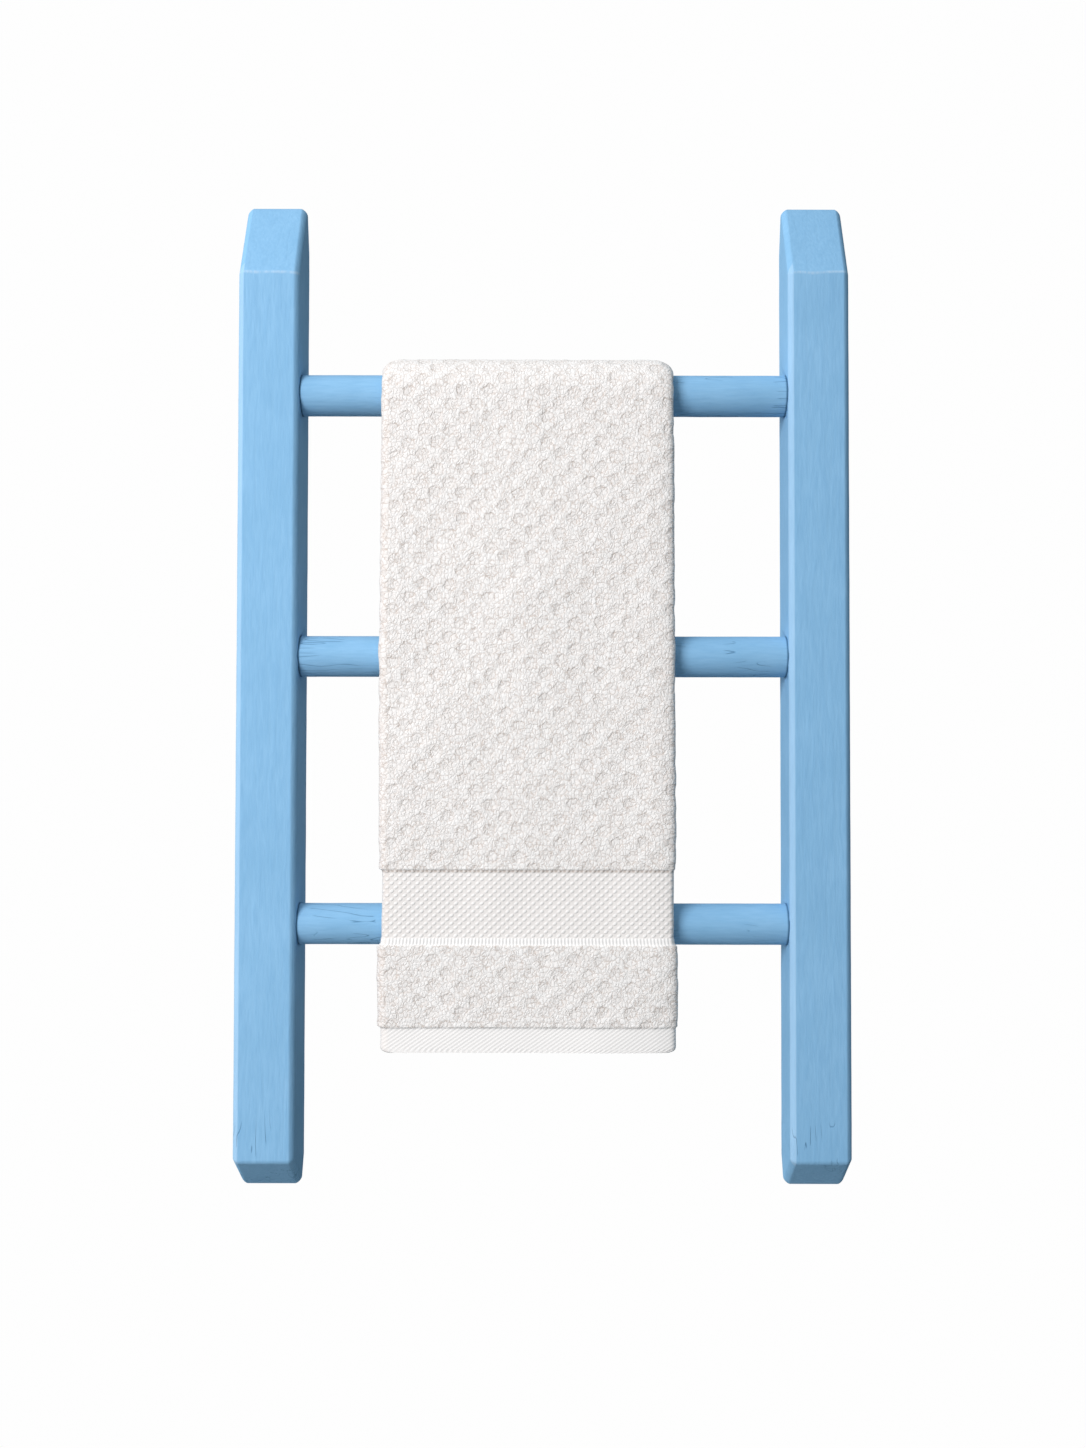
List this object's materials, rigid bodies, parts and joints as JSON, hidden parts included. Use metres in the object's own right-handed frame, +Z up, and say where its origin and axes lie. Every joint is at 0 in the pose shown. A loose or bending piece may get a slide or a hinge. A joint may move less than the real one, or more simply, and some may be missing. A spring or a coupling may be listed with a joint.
{
  "type": "wall towel ladder with towel",
  "caption": "Wall-hung wooden towel ladder with round rungs and a terry hand towel folded in thirds over its top rung.",
  "frame": {"origin": "on the wall plane, midway between the two points of the keyhole slots that the wall screws bear on", "axes": "+Z up, +X along the rungs to the right as seen from the room, +Y into the wall, the room at -Y"},
  "size_m": [0.306, 0.0405, 0.4995],
  "materials": {
    "painted_wood": "matte light-blue chalk paint, brushed on solid wood, slightly worn at the edges",
    "terry": "white cotton terry with shallow dimples in its pile, a dobby band and a twill hem",
    "zinc_steel": "bright zinc plating"
  },
  "bodies": {
    "rack": {"left_upright": "painted_wood", "right_upright": "painted_wood", "top_rung": "painted_wood", "middle_rung": "painted_wood", "bottom_rung": "painted_wood", "left_hanger_plate": "zinc_steel", "right_hanger_plate": "zinc_steel", "left_hanger_screw_upper": "zinc_steel", "left_hanger_screw_lower": "zinc_steel", "right_hanger_screw_upper": "zinc_steel", "right_hanger_screw_lower": "zinc_steel"},
    "towel": {"towel": "terry"}
  },
  "joints": [
    {"name": "towel_slide", "type": "slide", "parent": "rack", "child": "towel", "axis": [1, 0, 0], "range_m": [-0.04, 0.055]}
  ]
}
